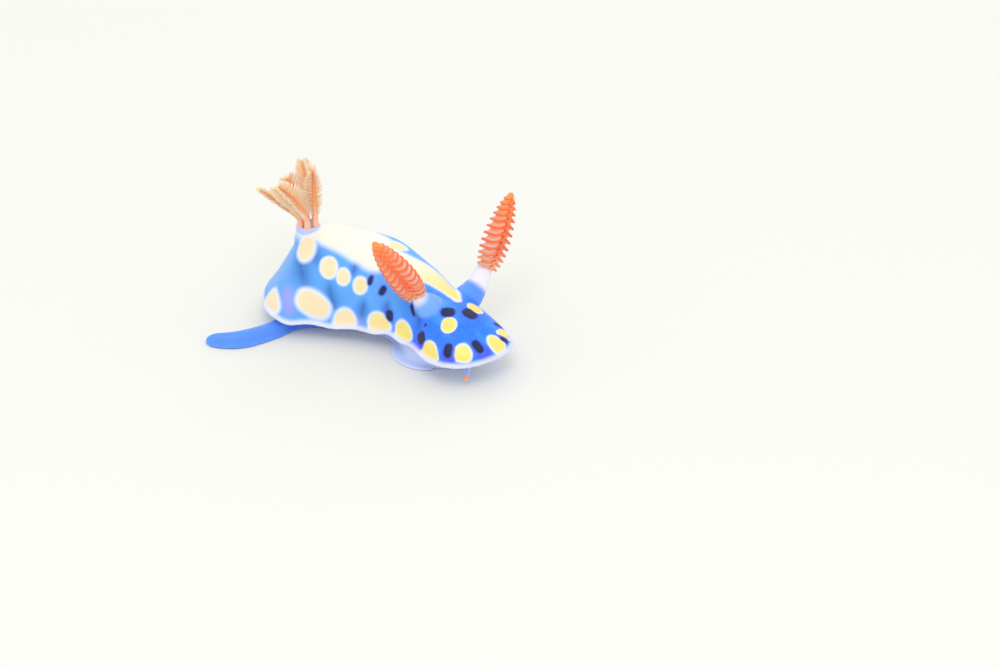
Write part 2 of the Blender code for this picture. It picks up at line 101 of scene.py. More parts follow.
# x, y, half width of the sole, half width at the flank, height of the top
foot = {
    "stations": [
        (0.50, -4.7, 1.20, 1.35, 1.38),
        (0.25, -3.5, 1.55, 1.60, 1.32),
        (-0.30, -2.1, 2.50, 1.80, 1.20),
        (0.00, 0.6, 1.60, 1.45, 1.00),
        (-0.90, 3.4, 1.45, 1.45, 0.90),
        (-3.05, 5.8, 1.60, 1.45, 0.88),
        (-5.45, 6.6, 0.85, 0.75, 0.85),
        (-7.85, 6.3, 0.64, 0.52, 0.88),
        (-10.20, 6.6, 0.66, 0.50, 0.90),
        (-11.90, 8.0, 0.50, 0.34, 0.66),
    ],
    "leftSole": 1.7,  # the lobe near the front stands out on the right side only
    "underMantle": 0.62,  # share of its length that joins the mantle above it
    "joinSharpness": 60.0,
    "reachUp": 0.75,
    "edgeHeight": 0.2,
    "edgeFlare": 0.2,
    "frontRounding": 0.7,
    "tailRounding": 0.9,
    "segments": 72,
    "rings": 150,
}

skin = {
    "voxel": 0.085,
    "smoothing": 6,
    "blend": 0.16,
    "stalkWhite": {"right": (0.5, 1.2), "left": (0.9, 1.6)},  # mm up each stalk
    "orangeTip": (0.66, 0.8),  # share of an oral feeler's length
    "sheathFade": (-0.25, 0.25),  # mm over the back
    "tailFade": (10.0, 13.0),  # mm along the foot
    # how much each form counts in the share that a colour reads
    "shares": {
        "footShare": {"foot": 1.0},
        "snoutShare": {"snout": 1.0, "lips": 1.0},
        "oralShare": {"oralRight": 1.0, "oralLeft": 1.0},
        "stalkShare": {"stalkRight": 1.0, "stalkLeft": 0.6},
        "sheathShare": {"sheath": 1.0},
    },
    "blue": "2B7DFF",
    # scale of the noise, value where the colour is missing and where it is full, colour, strength
    "clouds": [
        (0.55, 0.5, 0.7, "1B6CF2", 0.5),
        (0.55, 0.5, 0.3, "4FA6FF", 0.7),
        (7.0, 0.5, 0.75, "4FA6FF", 0.35),
    ],
    # attribute, value where the colour is missing and where it is full, colour, strength
    "layers": [
        ("along", 5.0, 9.5, "68B5FE", 0.8),
        ("along", 12.0, 17.0, "66ABF0", 0.8),
        ("underGap", 0.0, 0.5, "B9CCFF", 1.0),
        ("footShare", 0.35, 0.8, "D0DBFF", 1.0),
        ("tailShare", 0.1, 0.9, "5C97F8", 1.0),
        ("snoutShare", 0.3, 0.8, "C3D2FF", 1.0),
        ("oralShare", 0.4, 0.8, "C3CFFF", 1.0),
        ("oralTip", 0.1, 0.9, "FFAE84", 1.0),
        ("stalkShare", 0.35, 0.85, "7CB0FF", 1.0),
        ("stalkWhite", 0.1, 0.9, "F3EEFF", 1.0),
        ("sheathShare", 0.2, 0.9, "C2CEFC", 1.0),
        ("tealGap", 1.0, -1.0, "1E5FB4", 0.8),
        ("lilacGap", 1.0, -1.0, "A9A6F2", 0.8),
        ("whiteGap", 2.2, 0.2, "EEF3FF", 0.95),
        ("violetGap", 1.0, -0.2, "4C5CFA", 0.9),
        ("yellowGap", 0.08, -0.1, "FFE67C", 1.0),
        ("rearYellow", 0.0, 1.0, "FFE6C0", 0.9),
        ("creamStripe", 0.0, 1.0, "FFF5E2", 1.0),
        ("darkGap", 0.08, -0.08, "10234C", 1.0),
        ("rimGap", 0.5, 0.14, "E6E6F8", 0.9),
    ],
}


def smoothRow(stations, along):
    # the row at a place from 0 to 1 along the stations, on a smooth curve through them
    last = len(stations) - 1
    place = min(max(along, 0.0), 1.0) * last
    i = min(int(place), last - 1)
    t = place - i
    rows = [stations[max(i - 1, 0)], stations[i], stations[i + 1], stations[min(i + 2, last)]]
    p0, p1, p2, p3 = (np.array(row) for row in rows)
    curve = (p2 - p0) * t + (2 * p0 - 5 * p1 + 4 * p2 - p3) * t * t + (3 * p1 - p0 - 3 * p2 + p3) * t**3
    return 0.5 * (2 * p1 + curve)


def sideVector(stations, along):
    # points to the animal's left
    step = 0.004
    run = smoothRow(stations, min(along + step, 1.0)) - smoothRow(stations, max(along - step, 0.0))
    length = math.hypot(run[0], run[1])
    return Vector((run[1] / length, -run[0] / length, 0.0))


def runLengths(points):
    # how far along an open line each of its points lies
    steps = np.linalg.norm(np.diff(points, axis=0), axis=1)
    return np.concatenate([[0.0], np.cumsum(steps)])


def lengthTable(stations, count=600):
    return runLengths(np.array([smoothRow(stations, k / count)[:2] for k in range(count + 1)]))


def endFactor(distance, whole, front, rear):
    # the share of its full width that a body has, rounded off towards both ends
    factor = 1.0
    for radius, gap in ((front, distance), (rear, whole - distance)):
        if gap < radius:
            factor *= math.sqrt(max(1 - (1 - gap / radius) ** 2, 0.0))
    return factor


def resample(points, count):
    # spreads points evenly along an open line, both ends kept
    points = np.array(points)
    run = runLengths(points)
    wanted = np.linspace(0.0, run[-1], count + 1)
    return np.stack([np.interp(wanted, run, column) for column in points.T], axis=1)


mantleLengths = lengthTable(mantle["stations"])
footLengths = lengthTable(foot["stations"])


def alongAt(table, distance):
    return float(np.interp(distance, table, np.linspace(0.0, 1.0, len(table))))


def closedLine(halves, middle, side):
    # both halves' upper and under lines as one: right rim, over the back to the left rim, and back underneath
    (rightLine, rightUnder), (leftLine, leftUnder) = halves
    flat = [(-a, z) for a, z in rightLine] + [(a, z) for a, z in leftLine[::-1][1:]]
    flat += [(a, z) for a, z in leftUnder[1:]] + [(-a, z) for a, z in rightUnder[::-1][1:-1]]
    return [middle + side * a + Vector((0.0, 0.0, z)) for a, z in flat]


def mantleSection(distance):
    whole = mantleLengths[-1]
    along = alongAt(mantleLengths, distance)
    x, y, right, left, margin, back, tilt, rightSquare, leftSquare = smoothRow(mantle["stations"], along)
    fronts, rear = mantle["frontRounding"].values(), mantle["rearRounding"]
    factor, leftFactor = (endFactor(distance, whole, front, rear) for front in fronts)
    tilt *= factor
    thick = mantle["edgeThickness"] * min(1.0, 0.35 + factor)
    rise = (back - margin - mantle["brimRise"]) * factor ** mantle["heightRounding"]
    lift = mantle["brimRise"] * min(1.0, factor * 2)
    wave = math.sin(2 * math.pi * (distance - mantle["waveStart"]) / mantle["waveLength"])
    quarter = mantle["segments"] // 4
    halves = []
    for sign, half, square in ((-1, right * factor, rightSquare), (1, left * leftFactor, leftSquare)):
        brim = min(mantle["brim"], 0.3 * half)
        rim = margin + sign * tilt
        curl = mantle["waveHeight"] * wave * factor * sign
        line = [(half, rim - 0.5 * thick + curl), (half - 0.1 * brim, rim - 0.1 * thick + curl)]
        line.append((half - 0.5 * brim, rim + 0.35 * lift + 0.6 * curl))
        for k in range(25):
            angle = 0.5 * math.pi * k / 24
            reach = math.cos(angle) ** (2 / square)
            height = margin + sign * tilt * reach + lift + rise * math.sin(angle) ** (2 / square)
            line.append(((half - brim) * reach, height))
        under = [(half, rim - 0.5 * thick + curl), (half - 0.1 * brim, rim - 0.9 * thick + curl)]
        under += [(half - brim, rim - thick), (0.6 * half, margin - thick), (0.0, margin - thick)]
        halves.append((resample(line, quarter), resample(under, quarter)))
    return closedLine(halves, Vector((x, y, 0.0)), sideVector(mantle["stations"], along))


def footSection(distance):
    whole = footLengths[-1]
    along = alongAt(footLengths, distance)
    x, y, sole, flank, top = smoothRow(foot["stations"], along)
    factor = endFactor(distance, whole, foot["frontRounding"], foot["tailRounding"])
    joined = 1 / (1 + math.exp((along - foot["underMantle"]) * foot["joinSharpness"]))
    top += foot["reachUp"] * joined
    edge, flare = foot["edgeHeight"], foot["edgeFlare"]
    quarter = foot["segments"] // 4
    halves = []
    for reach in (sole, min(sole, foot["leftSole"])):
        line = [((reach + flare) * factor, 0.5 * edge), ((reach + 0.4 * flare) * factor, edge)]
        for k in range(13):
            angle = 0.5 * math.pi * k / 12
            out = min(flank, reach) * factor * math.cos(angle)
            line.append((out, edge + (top - edge) * factor * math.sin(angle) ** 0.7))
        line = resample(line, quarter)
        halves.append((line, resample([line[0], (reach * factor, 0.0), (0.0, 0.0)], quarter)))
    return closedLine(halves, Vector((x, y, 0.0)), sideVector(foot["stations"], along))


def ringDistances(rings, whole):
    # rings lie closer together towards both ends
    shares = np.linspace(0.0, 1.0, rings + 1)
    return (shares - 0.55 * np.sin(2 * math.pi * shares) / (2 * math.pi)) * whole


def shapedBall(name, segments, rings, section, whole):
    # a ball whose rings become the sections of a body, from one pole to the other
    bpy.ops.mesh.primitive_uv_sphere_add(segments=segments, ring_count=rings, radius=1)
    ball = bpy.context.object
    ball.name = name
    lines = [section(distance) for distance in ringDistances(rings, whole)]
    spots = []
    for vert in ball.data.vertices:
        polar = math.acos(max(-1.0, min(1.0, vert.co.z)))
        ring = round(polar / math.pi * rings)
        spoke = round(math.atan2(vert.co.y, vert.co.x) / (2 * math.pi) * segments) % segments
        if ring in (0, rings):
            vert.co = sum(lines[ring], Vector()) / segments
        else:
            vert.co = lines[ring][spoke]
        spots.append((ring, spoke))
    bpy.ops.object.mode_set(mode="EDIT")
    bpy.ops.mesh.select_all(action="SELECT")
    bpy.ops.mesh.normals_make_consistent(inside=False)
    bpy.ops.object.mode_set(mode="OBJECT")
    bpy.ops.object.select_all(action="DESELECT")
    return ball, lines, spots


def frameFrom(origin, axis, towards):
    z = axis.normalized()
    x = (towards - z * towards.dot(z)).normalized()
    made = Matrix((x, z.cross(x), z)).transposed().to_4x4()
    made.translation = origin
    return made


def turnedBall(name, segments, rings, profile, place):
    # a body of revolution from radius and height pairs, its frame given by place(height)
    profile = np.array(profile, float)
    run = runLengths(profile)
    turns = [2 * math.pi * k / segments for k in range(segments)]

    def section(distance):
        radius, height = (float(np.interp(distance, run, column)) for column in profile.T)
        matrix = place(height)
        return [matrix @ Vector((radius * math.cos(t), radius * math.sin(t), 0.0)) for t in turns]

    return shapedBall(name, segments, rings, section, run[-1])[0]


def backPoint(along, offset):
    # a place on the back, offset in mm from its midline to the animal's left
    x, y, right, left, margin, back, tilt, rightSquare, leftSquare = smoothRow(mantle["stations"], along)
    half = (left if offset > 0 else right) - mantle["backInset"]
    square = leftSquare if offset > 0 else rightSquare
    inside = max(1 - (abs(offset) / half) ** square, 0.0) ** (1 / square)
    low = margin + mantle["backLift"]
    height = low + tilt * offset / half + (back - low) * inside
    return Vector((x, y, 0.0)) + sideVector(mantle["stations"], along) * offset + Vector((0.0, 0.0, height))


rhinophore = {
    "station": 0.338,
    "spread": {"right": 1.5, "left": 1.7},
    "rootDrop": {"right": 0.0, "left": 0.3},
    "stalkLength": {"right": 0.8, "left": 2.45},
    "stalkLean": {"right": 40.0, "left": 72.0},
    "stalkBack": 6.0,
    "stalkBend": 0.6,
    "stalkRadii": {
        "right": [(0.0, 1.08), (0.35, 0.94), (0.55, 0.78), (0.75, 0.56), (0.9, 0.46), (1.0, 0.36)],
        "left": [(0.0, 1.1), (0.25, 0.96), (0.42, 0.82), (0.6, 0.68), (0.8, 0.58), (1.0, 0.42)],
    },
    # mm that the stalk runs on behind the club, away from its face and along it
    "stalkBehind": {"right": (0.12, 0.2), "left": (0.34, 0.55)},
    "stalkSink": 0.6,
    "clubLean": 31.0,
    "clubBack": {"right": 15.0, "left": 10.0},
    "clubGap": 0.3,
    "clubLength": 5.3,
    "clubStretch": {"right": 1.0, "left": 1.04},
    "clubRadius": 1.07,
    "clubFace": {"right": Vector((-0.43, -0.83, 0.0)), "left": Vector((0.03, -0.92, 0.38))},
}


def leaning(which, outward, back):
    # a direction that leans outward and back from upright by these degrees
    outward, back = math.radians(outward), math.radians(back)
    level = math.cos(back)
    return Vector((sideSign[which] * math.sin(outward) * level, math.sin(back), math.cos(outward) * level))


def clubAxis(which):
    return leaning(which, rhinophore["clubLean"], rhinophore["clubBack"][which])


def stalkLine(which):
    # the foot, the bend and the top of a feeler's stalk
    root = backPoint(rhinophore["station"], sideSign[which] * rhinophore["spread"][which])
    root.z -= rhinophore["rootDrop"][which]
    length, lower = rhinophore["stalkLength"][which], rhinophore["stalkBend"]
    start = leaning(which, rhinophore["stalkLean"][which], rhinophore["stalkBack"])
    bend = root + start * lower * length
    top = bend + clubAxis(which) * (1 - lower) * length
    return root, bend, top


def stalkBall(which):
    root, bend, top = stalkLine(which)
    start, finish, face = (bend - root).normalized(), clubAxis(which), rhinophore["clubFace"][which]
    low = root - start * rhinophore["stalkSink"]
    behind, beyond = rhinophore["stalkBehind"][which]
    high = top + finish * (rhinophore["clubGap"] + beyond) - face.normalized() * behind

    def place(t):
        centre = low * (1 - t) ** 2 + bend * 2 * t * (1 - t) + high * t * t
        return frameFrom(centre, start.lerp(finish, t), face)

    radii = [(radius, share) for share, radius in rhinophore["stalkRadii"][which]]
    return turnedBall(f"stalk{which.title()}", 48, 40, [(0.0, 0.0)] + radii + [(0.0, 1.0)], place)


gill = {
    "station": 0.872,
    # radius and height pairs, from inside the back up over the sheath's lip
    "sheath": [
        (0.0, -1.3), (1.0, -1.3), (0.92, -0.45), (0.82, 0.05), (0.8, 0.4),
        (0.77, 0.56), (0.71, 0.56), (0.65, 0.42), (0.0, 0.34),
    ],
}

head = {
    "snoutAhead": 0.2,  # mm from the front of the foot to the snout's middle
    "snoutHalfLength": 1.7,
    "snoutHalfWidth": 1.15,
    "snoutLow": 0.7,
    "snoutHigh": 1.55,
    "lipAhead": 1.93,
    "lipRadius": 0.36,
    "lipThickness": 0.13,
    "lipSquash": 0.72,
    # mm aside and ahead of the front of the foot, degrees outward and down, length in mm
    "orals": {"right": (0.5, 1.45, 44.5, 22.0, 1.77), "left": (0.4, 0.9, 45.0, 25.0, 0.95)},
    "oralRadius": 0.2,
    # share of the radius and of the length
    "oralProfile": [(0.0, 0.0), (1.1, 0.0), (1.0, 0.5), (0.8, 0.85), (0.5, 0.97), (0.0, 1.0)],
}


def headPoint(aside, ahead):
    x, y = foot["stations"][0][:2]
    return Vector((x + aside, y - ahead, 0.5 * (head["snoutLow"] + head["snoutHigh"])))


def snoutBall():
    tall = 0.5 * (head["snoutHigh"] - head["snoutLow"])
    place = headPoint(0.0, head["snoutAhead"])
    bpy.ops.mesh.primitive_uv_sphere_add(segments=48, ring_count=32, radius=1, location=place)
    ball = bpy.context.object
    ball.name = "snout"
    bpy.ops.transform.resize(value=(head["snoutHalfWidth"], head["snoutHalfLength"], tall))
    bpy.ops.object.transform_apply(location=True, rotation=True, scale=True)
    bpy.ops.object.select_all(action="DESELECT")
    return ball


def lipRing():
    bpy.ops.mesh.primitive_torus_add(
        location=headPoint(0.0, head["lipAhead"]),
        rotation=(math.pi / 2, 0.0, 0.0),
        major_radius=head["lipRadius"],
        minor_radius=head["lipThickness"],
        major_segments=48,
        minor_segments=16,
    )
    ring = bpy.context.object
    ring.name = "lips"
    bpy.ops.object.transform_apply(location=False, rotation=True, scale=True)
    ring.scale = (1.0, 1.0, head["lipSquash"])
    bpy.ops.object.transform_apply(location=True, rotation=True, scale=True)
    bpy.ops.object.select_all(action="DESELECT")
    return ring


def oralAxis(which):
    aside, ahead, splay, drop, length = head["orals"][which]
    splay, drop, sign = math.radians(splay), math.radians(drop), sideSign[which]
    level = math.cos(drop)
    axis = Vector((sign * math.sin(splay) * level, -math.cos(splay) * level, -math.sin(drop)))
    return headPoint(sign * aside, ahead), axis, length


def oralBall(which):
    root, axis, length = oralAxis(which)
    profile = [(share * head["oralRadius"], rise * length) for share, rise in head["oralProfile"]]

    def place(height):
        return frameFrom(root + axis * height, axis, Vector((0.0, 0.0, 1.0)))

    return turnedBall(f"oral{which.title()}", 32, 24, profile, place)


mantleBall, mantleLines, mantleSpots = shapedBall(
    "mantle", mantle["segments"], mantle["rings"], mantleSection, mantleLengths[-1]
)
footBall = shapedBall("foot", foot["segments"], foot["rings"], footSection, footLengths[-1])[0]
gillCentre = backPoint(gill["station"], 0.0)


def overBack(height):
    return Matrix.Translation(gillCentre + Vector((0.0, 0.0, height)))


sheathBall = turnedBall("sheath", 64, 60, gill["sheath"], overBack)
flesh = [mantleBall, footBall, sheathBall, snoutBall(), lipRing()]
flesh += [shape(which) for shape in (stalkBall, oralBall) for which in sideSign]
print("flesh shaped:", len(flesh), "forms")


def acrossTable(line):
    # arc length from the midline of the back, positive on the animal's left, going on under the rims
    count = len(line)
    middle = count // 4
    steps = [(line[(k + 1) % count] - line[k]).length for k in range(count)]
    table = np.zeros(count)
    for k in range(1, count // 2 + 1):
        table[(middle + k) % count] = table[(middle + k - 1) % count] + steps[(middle + k - 1) % count]
    for k in range(1, count // 2):
        table[middle - k] = table[(middle - k + 1) % count] - steps[(middle - k) % count]
    return table


mantleAlong = ringDistances(mantle["rings"], mantleLengths[-1])
mantleAcross = [acrossTable(line) for line in mantleLines]
rimSpokes = (0, mantle["segments"] // 2)  # of each ring, on the right and on the left
rimAcross = [np.array([table[spoke] for table in mantleAcross]) for spoke in rimSpokes]


def treeOf(form):
    points = [vert.co.copy() for vert in form.data.vertices]
    return BVHTree.FromPolygons(points, [tuple(face.vertices) for face in form.data.polygons])


mantleFaces = [tuple(face.vertices) for face in mantleBall.data.polygons]
mantlePoints = [vert.co.copy() for vert in mantleBall.data.vertices]
partTrees = {form.name: treeOf(form) for form in flesh}


def bodyPlace(point):
    # the nearest place on the mantle, in mm along the body and across it
    near, _, index, _ = partTrees["mantle"].find_nearest(point)
    corners = mantleFaces[index]
    weights = poly_3d_calc([mantlePoints[c] for c in corners], near)
    along = sum(w * mantleAlong[mantleSpots[c][0]] for w, c in zip(weights, corners))
    across = sum(w * mantleAcross[mantleSpots[c][0]][mantleSpots[c][1]] for w, c in zip(weights, corners))
    return along, across


def skinPoint(along, across):
    # a point of the mantle's upper side, from mm along the body and mm across it
    ring = float(np.interp(along, mantleAlong, np.arange(len(mantleAlong))))
    low = min(int(ring), len(mantleAlong) - 2)
    half = rimSpokes[1]
    pair = []
    for k in (low, low + 1):
        spoke = float(np.interp(across, mantleAcross[k][: half + 1], np.arange(half + 1)))
        j = min(int(spoke), half - 1)
        pair.append(mantleLines[k][j].lerp(mantleLines[k][j + 1], spoke - j))
    return pair[0].lerp(pair[1], ring - low)


def joinPieces(pieces, name):
    for piece in pieces:
        piece.select_set(True)
    bpy.context.view_layer.objects.active = pieces[0]
    bpy.ops.object.join()
    whole = bpy.context.object
    whole.name = name
    bpy.ops.object.shade_smooth()
    whole.select_set(False)
    return whole


body = joinPieces(flesh, "skin")
remesh = body.modifiers.new("oneSkin", "REMESH")
remesh.mode = "VOXEL"
remesh.voxel_size = skin["voxel"]
remesh.use_smooth_shade = True
bpy.ops.object.modifier_apply(modifier="oneSkin")
smooth = body.modifiers.new("smooth", "SMOOTH")
smooth.factor = 0.5
smooth.iterations = skin["smoothing"]
bpy.ops.object.modifier_apply(modifier="smooth")
body.data.transform(Matrix.Scale(metresPerMm, 4))
print("skin:", len(body.data.polygons), "faces")

# Marks on the mantle: mm along the body from the front, mm across it (+ is the animal's left), length and
# width in mm, degrees that the length turns from along the body towards its right, and width of the halo
marks = {
    "yellow": [
        (3.12, -1.50, 1.22, 0.98, -36, 0.06),
        (3.60, 1.03, 1.22, 0.98, 165, 0.06),
        (11.00, 1.45, 1.30, 0.85, -160, 0.16),
        (14.28, -2.70, 1.36, 1.02, 118, 0.12),
        (13.08, -2.98, 0.96, 0.74, 118, 0.12),
        (11.72, -3.04, 1.02, 0.76, 108, 0.12),
        (16.45, -1.75, 1.60, 1.20, 95, 0.20),
        (15.00, -5.52, 2.25, 1.55, 165, 0.22),
        (8.90, 2.60, 1.10, 0.80, -25, 0.16),
        (13.40, 3.10, 1.30, 0.90, -38, 0.18),
        (15.20, 2.80, 1.05, 0.80, -20, 0.18),
    ],
    # broader at the rim
    "rimYellow": [
        (3.25, -3.86, 1.32, 1.84, 104, 0.09),
        (0.98, -1.78, 1.20, 1.06, 152, 0.09),
        (0.60, 0.72, 1.34, 1.06, -152, 0.09),
        (1.34, 2.02, 1.50, 0.60, -100, 0.08),
        (6.85, -4.16, 1.50, 1.60, 138, 0.12),
        (9.96, -4.90, 1.45, 1.46, 142, 0.14),
        (12.64, -5.86, 1.40, 1.30, 100, 0.18),
        (18.75, -3.38, 1.70, 1.60, 62, 0.22),
        (3.30, 3.30, 1.30, 1.10, -90, 0.12),
        (6.30, 3.70, 1.45, 1.20, -95, 0.14),
        (9.30, 4.60, 1.60, 1.30, -90, 0.16),
        (12.10, 5.40, 1.50, 1.30, -85, 0.18),
        (15.00, 5.90, 1.80, 2.10, -90, 0.20),
        (17.90, 4.50, 1.60, 1.50, -100, 0.20),
    ],
    "dark": [
        (4.06, -0.90, 0.96, 0.90, -131, 0.22),
        (3.12, 0.26, 1.14, 0.84, -165, 0.22),
        (4.58, -3.55, 0.96, 0.78, 60, 0.22),
        (1.72, -2.64, 1.00, 0.60, 140, 0.22),
        (0.82, -0.64, 1.00, 0.60, -170, 0.22),
        (0.88, 1.62, 0.90, 0.36, -115, 0.16),
        (1.95, 1.85, 0.80, 0.40, -110, 0.20),
        (8.68, -3.82, 0.78, 0.54, 120, 0.26),
        (10.02, -2.59, 0.64, 0.42, 95, 0.20),
        (11.11, -2.38, 0.66, 0.34, 96, 0.20),
        (6.51, -2.38, 1.00, 0.28, 154, 0.10),
        (4.80, 3.30, 1.00, 0.66, -75, 0.22),
        (7.80, 3.90, 0.95, 0.58, -85, 0.22),
        (10.70, 4.70, 1.00, 0.50, -90, 0.22),
        (13.50, 5.40, 1.00, 0.50, -85, 0.22),
        (16.60, 5.20, 0.90, 0.50, -95, 0.22),
        (10.30, 2.90, 0.72, 0.46, -59, 0.20),
        (11.90, 3.20, 0.66, 0.40, -70, 0.20),
        (4.64, -2.61, 0.24, 0.20, 17, 0.10),
    ],
    # violet clouds that run from the dark marks to the rim
    "violet": [
        (1.60, -2.78, 1.30, 0.96, 143, 0.22),
        (4.60, -3.84, 1.30, 0.86, 76, 0.22),
        (0.58, -0.52, 1.40, 0.82, -163, 0.22),
        (0.95, 1.55, 0.95, 0.42, -118, 0.14),
        (4.80, 3.70, 1.20, 0.80, -80, 0.22),
        (7.80, 4.20, 1.10, 0.60, -88, 0.22),
    ],
    # dim teal clouds between the marks of the rear
    "teal": [
        (13.70, -4.60, 1.80, 0.60, 118, 0.8),
        (11.34, -4.70, 1.50, 0.50, 99, 0.6),
        (15.60, -2.20, 1.20, 0.75, 137, 0.8),
        (12.50, -2.10, 1.00, 0.40, 110, 0.4),
        (16.40, -3.20, 2.20, 1.00, 100, 1.0),
        (9.20, -3.60, 1.10, 0.50, 110, 0.5),
        (5.50, -2.60, 1.30, 0.50, 130, 0.5),
        (11.20, 4.00, 1.20, 0.50, -90, 0.5),
        (14.40, 4.50, 1.40, 0.60, -80, 0.5),
    ],
    "lilac": [
        (17.14, -5.11, 1.90, 1.10, 59, 0.5),
        (11.60, -5.70, 0.80, 0.60, 90, 0.5),
        (9.00, -5.10, 0.70, 0.50, 90, 0.4),
    ],
    # the stripe down the back: mm along, mm across, half its width
    "stripe": [
        (4.75, 0.38, 0.16),
        (5.4, 0.54, 0.38),
        (6.0, 0.64, 0.52),
        (6.6, 0.70, 0.64),
        (7.4, 0.70, 0.78),
        (8.2, 0.48, 0.84),
        (9.3, 0.14, 0.82),
        (10.4, -0.10, 0.90),
        (11.6, -0.28, 1.28),
        (12.6, 0.18, 1.62),
        (13.8, 0.42, 1.60),
        (15.0, 0.40, 1.45),
        (16.0, 0.20, 1.10),
    ],
    # mm along, width of the stripe's halo
    "stripeHalo": [(6.0, 0.13), (12.0, 0.3)],
    "creamFade": (5.2, 10.7),  # mm along, where the stripe turns cream
    "rearFade": (6.0, 14.0),  # mm along, where the yellow marks turn paler
    "rimInset": 0.3,
    "outlineNoise": 0.06,
    "noiseSize": 0.9,
}
# the mark's core, the halo round it, how square it is and how much it broadens
markKinds = [
    ("yellow", "yellow", "white", 2.2, 0.0),
    ("rimYellow", "yellow", "white", 2.4, 0.22),
    ("dark", "dark", "violet", 2.6, 0.0),
    ("violet", None, "violet", 2.2, 0.15),
    ("teal", None, "teal", 2.0, 0.0),
    ("lilac", None, "lilac", 2.0, 0.0),
]


def markFrame(along, across, turn):
    # centre on the skin, and its length, width and upright directions
    low, high = (np.interp(along, mantleAlong, rim) for rim in rimAcross)
    across = min(max(across, low + 0.2), high - 0.2)
    step = 0.15
    centre = skinPoint(along, across)
    ahead = (skinPoint(along + step, across) - skinPoint(along - step, across)).normalized()
    side = (skinPoint(along, across + step) - skinPoint(along, across - step)).normalized()
    up = ahead.cross(side).normalized()
    side = up.cross(ahead)
    turn = math.radians(turn)
    run = ahead * math.cos(turn) - side * math.sin(turn)
    return centre, run, up.cross(run), up


def markGap(points, along, across, length, width, turn, squareness, taper):
    # mm from each point to a mark's outline, negative inside it; a taper widens the end its length points to
    centre, run, over, up = (np.array(v) for v in markFrame(along, across, turn))
    offset = points - centre
    u = (offset @ run) / (0.5 * length)
    v = np.abs(offset @ over) / (0.5 * width * (1 + taper * np.clip(u, -1, 1)))
    u, w = np.abs(u), np.abs(offset @ up) / (0.6 * length)
    reach = (u**squareness + v**squareness + w**squareness) ** (1 / squareness)
    distance = np.linalg.norm(offset, axis=1)
    return distance - distance / np.maximum(reach, 0.05)


def stripeGap(along, across, line):
    best = np.full(len(along), 9.0)
    for (a0, c0, h0), (a1, c1, h1) in zip(line, line[1:]):
        span = (a1 - a0) ** 2 + (c1 - c0) ** 2
        t = np.clip(((along - a0) * (a1 - a0) + (across - c0) * (c1 - c0)) / span, 0.0, 1.0)
        away = np.hypot(along - a0 - t * (a1 - a0), across - c0 - t * (c1 - c0))
        best = np.minimum(best, away - (h0 + t * (h1 - h0)))
    return best


def keep(form, name, values):
    form.data.attributes.new(name, "FLOAT", "POINT").data.foreach_set("value", np.asarray(values, np.float32))


def partShares(points):
    # how much of each part is near every point, from 0 to 1
    weights = {}
    for name, tree in partTrees.items():
        gaps = np.array([tree.find_nearest(point)[3] for point in points])
        weights[name] = np.exp(-((gaps / skin["blend"]) ** 2)) + 1e-9
    total = sum(weights.values())
    return {name: weight / total for name, weight in weights.items()}


def rimDistance(points):
    rim = KDTree(12 * len(mantleLines) - 12)
    for line, after in zip(mantleLines, mantleLines[1:]):
        for side in rimSpokes:
            for k in range(6):
                rim.insert(line[side].lerp(after[side], k / 6), 0)
    rim.balance()
    return np.array([rim.find(point)[2] for point in points])


def fade(values, low, high):
    return np.clip((values - low) / (high - low), 0, 1)


